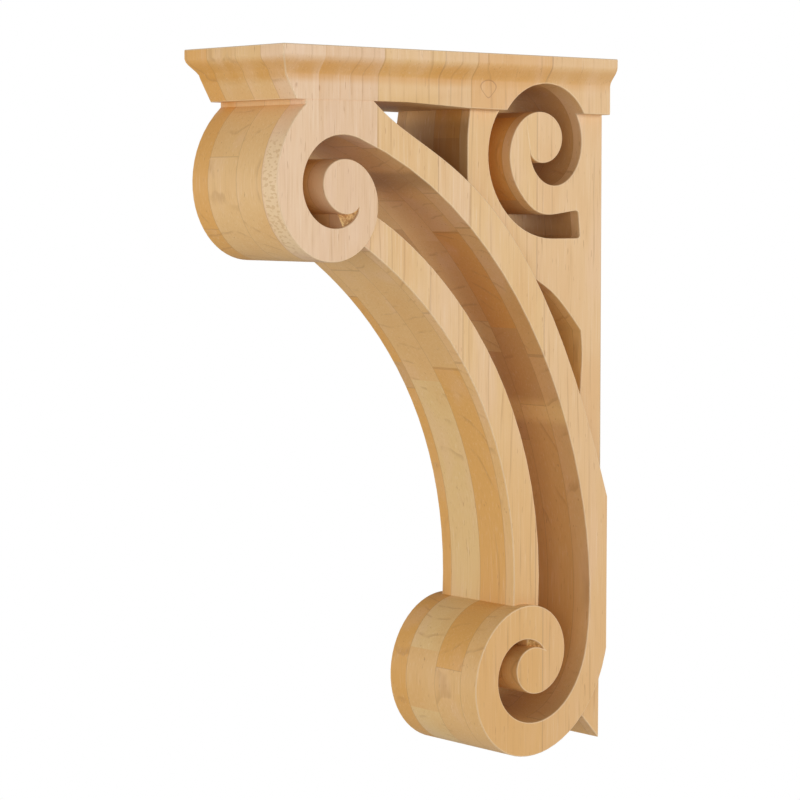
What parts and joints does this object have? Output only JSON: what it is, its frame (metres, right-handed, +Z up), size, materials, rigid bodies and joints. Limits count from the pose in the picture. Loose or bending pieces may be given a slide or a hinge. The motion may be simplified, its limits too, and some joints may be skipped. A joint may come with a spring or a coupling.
{
  "type": "corbel bracket",
  "caption": "Carved wooden corbel bracket with an S-shaped scroll band, two volutes, a pierced C scroll and a moulded cap, fixed by its flat back.",
  "frame": {"origin": "middle of the flat back face that goes against the wall", "axes": "+Z up to the cap, -Y out from the wall towards the front volute, +X across the width"},
  "size_m": [0.08, 0.229, 0.371],
  "materials": {
    "corbel_bracket": "sanded, unfinished, satin"
  },
  "bodies": {
    "root": {"corbel_bracket": "corbel_bracket"}
  },
  "joints": []
}
